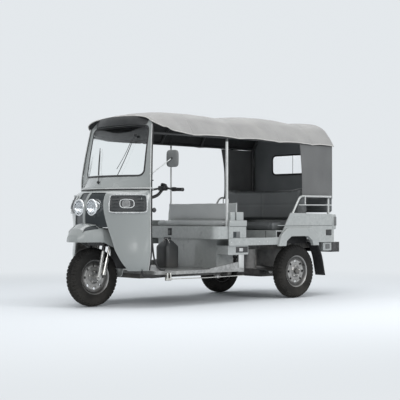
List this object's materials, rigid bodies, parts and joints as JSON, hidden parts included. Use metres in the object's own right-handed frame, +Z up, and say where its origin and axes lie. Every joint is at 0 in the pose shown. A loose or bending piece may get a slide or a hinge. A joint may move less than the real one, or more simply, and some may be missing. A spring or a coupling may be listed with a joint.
{
  "type": "auto rickshaw",
  "caption": "Open auto rickshaw: narrow driver's cab with a beaked fender, wider passenger tub, cloth hood on tube posts",
  "frame": {"origin": "on the ground, under the middle of the vehicle's length and width", "axes": "+X forward, +Y to the vehicle's left, +Z up"},
  "size_m": [3.1999, 1.392, 1.8878],
  "materials": {
    "tyre": "matte",
    "steel": "satin",
    "body_paint": "gloss",
    "dark_paint": "satin",
    "mask": "satin",
    "lens": "gloss",
    "chrome": "polished",
    "amber": "gloss",
    "red_lens": "gloss",
    "windscreen": "gloss",
    "rubber": "matte",
    "black_plastic": "matte",
    "hood_cloth": "woven",
    "curtain_cloth": "woven",
    "film": "gloss",
    "seat_cover": "grained",
    "dark_cover": "grained",
    "frame_tube": "satin",
    "cast": "rough"
  },
  "bodies": {
    "chassis": {"air_cleaner": "frame_tube", "arch_flares": "body_paint", "back_curtain": "curtain_cloth", "back_window": "film", "chassis_frame": "dark_paint", "dashboard": "black_plastic", "drive_shafts": "steel", "driver_backrest": "seat_cover", "driver_cushion": "seat_cover", "driver_floor": "dark_paint", "driver_seat_base": "body_paint", "engine_block": "cast", "footwell_tank": "black_plastic", "front_fender": "body_paint", "front_panels": "body_paint", "grab_rails": "frame_tube", "headlamp_lenses": "lens", "headlamp_mask": "mask", "headlamp_shells": "chrome", "hood": "hood_cloth", "indicator_lamps": "amber", "mirrors": "black_plastic", "mudflaps": "rubber", "muffler": "steel", "passenger_backrest": "dark_cover", "passenger_cushion": "dark_cover", "rear_arms": "dark_paint", "rear_bumper": "body_paint", "rear_panel": "body_paint", "rear_springs": "steel", "roof_frame": "frame_tube", "roof_visor": "black_plastic", "screen_frame": "body_paint", "screen_gasket": "rubber", "screen_glass": "windscreen", "side_curtains": "curtain_cloth", "side_lamp_panels": "mask", "side_panel_left": "body_paint", "side_panel_right": "body_paint", "splash_flap": "rubber", "tail_lamps": "red_lens", "tool_box": "frame_tube", "tub_floor": "body_paint", "wheel_well": "dark_paint", "wipers": "black_plastic"},
    "steering": {"steering_fork": "steel", "fork_dampers": "steel", "handlebar": "dark_paint"},
    "front_wheel": {"front_tyre": "tyre", "front_rim": "steel"},
    "rear_left_wheel": {"rear_left_tyre": "tyre", "rear_left_rim": "steel"},
    "rear_right_wheel": {"rear_right_tyre": "tyre", "rear_right_rim": "steel"},
    "lid": {"engine_lid": "body_paint"}
  },
  "joints": [
    {"name": "steer", "type": "hinge", "parent": "chassis", "child": "steering", "pos_m": [1.3, 0, 0.275], "axis": [-0.454, 0, 0.891], "range_deg": [-38, 38]},
    {"name": "front_wheel_spin", "type": "hinge", "parent": "steering", "child": "front_wheel", "pos_m": [1.325, 0, 0.275], "axis": [0, 1, 0], "continuous": true},
    {"name": "rear_left_spin", "type": "hinge", "parent": "chassis", "child": "rear_left_wheel", "pos_m": [-0.88, 0.547, 0.275], "axis": [0, 1, 0], "continuous": true},
    {"name": "rear_right_spin", "type": "hinge", "parent": "chassis", "child": "rear_right_wheel", "pos_m": [-0.88, -0.547, 0.275], "axis": [0, 1, 0], "continuous": true},
    {"name": "lid_open", "type": "hinge", "parent": "chassis", "child": "lid", "pos_m": [-1.472, 0, 0.842], "axis": [0, 1, 0], "range_deg": [0, 75]}
  ]
}
